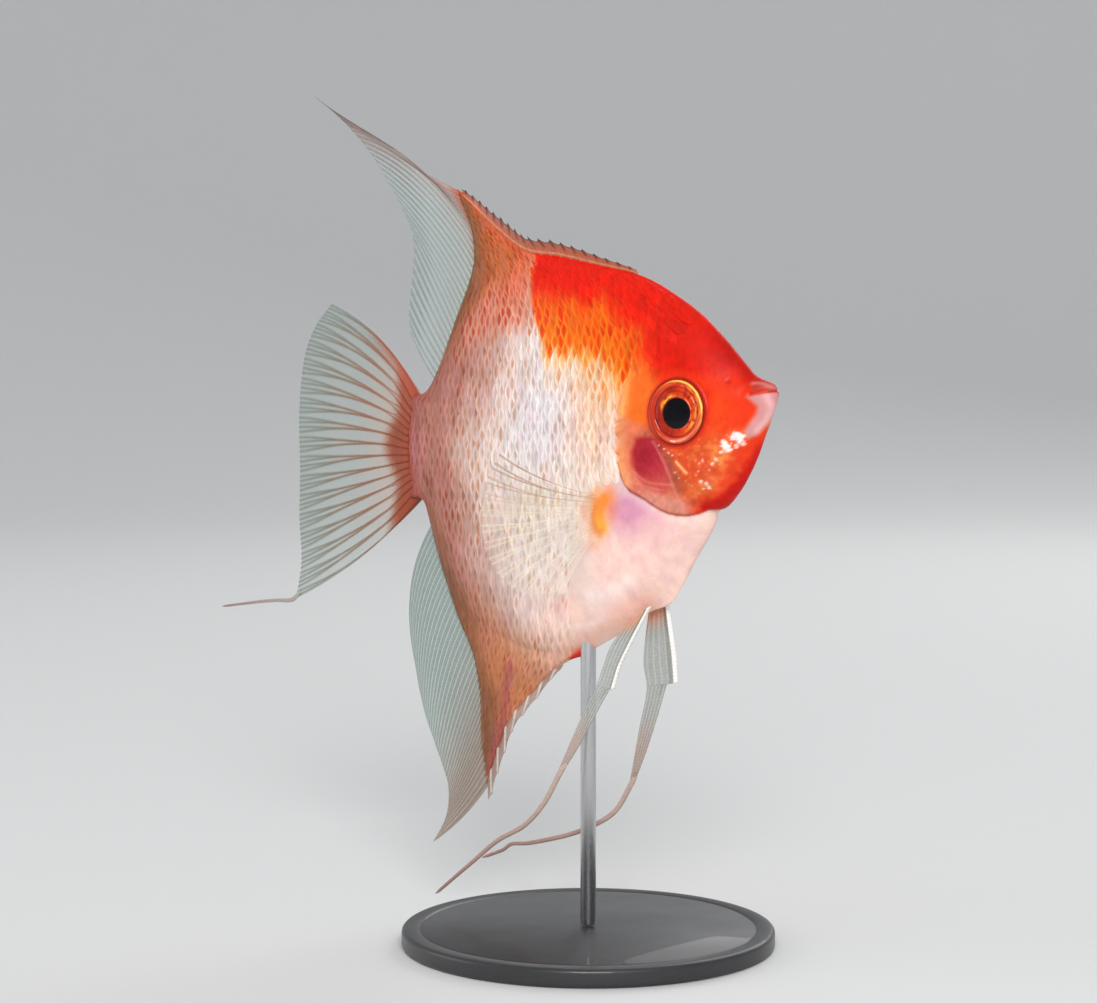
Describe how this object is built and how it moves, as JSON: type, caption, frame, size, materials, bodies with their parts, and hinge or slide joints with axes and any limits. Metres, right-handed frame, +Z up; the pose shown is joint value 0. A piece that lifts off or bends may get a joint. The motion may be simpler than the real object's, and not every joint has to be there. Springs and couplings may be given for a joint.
{
  "type": "freshwater angelfish",
  "caption": "Life-size still model of a freshwater angelfish with long trailing fins, held over a plain round display base by one thin rod.",
  "frame": {"origin": "centre of the stand base's underside, straight below the rod", "axes": "+X is where the snout points, +Z is up, +Y is the fish's left side"},
  "size_m": [0.1292, 0.06, 0.1392],
  "materials": {
    "red_skin": "wet, slightly glossy scaled skin, saturated red to orange",
    "white_skin": "satin scaled skin, pearl white with fine orange scale edges, pale pink belly",
    "orange_skin": "satin scaled skin, salmon orange",
    "eye": "glossy clear dome over a red-orange iris with a gold rim and a black pupil",
    "fin": "thin translucent membrane on fine rays, greyish, orange at the base",
    "stand_base": "satin black paint on a turned steel disc",
    "stand_rod": "brushed steel rod"
  },
  "bodies": {
    "root": {"head": "red_skin", "lower_jaw": "red_skin", "gill_cover_right": "red_skin", "gill_cover_left": "red_skin", "eye_right": "eye", "eye_left": "eye", "trunk": "white_skin", "tail_stalk": "orange_skin", "dorsal_fin_base": "orange_skin", "anal_fin_base": "orange_skin", "dorsal_fin": "fin", "dorsal_streamer": "fin", "anal_fin": "fin", "caudal_fin": "fin", "caudal_filament": "fin", "pectoral_fin_right": "fin", "pectoral_fin_left": "fin", "pelvic_fin_right": "fin", "pelvic_fin_left": "fin", "pelvic_thread_right": "fin", "pelvic_thread_left": "fin", "stand_base": "stand_base", "stand_rod": "stand_rod"}
  },
  "joints": []
}
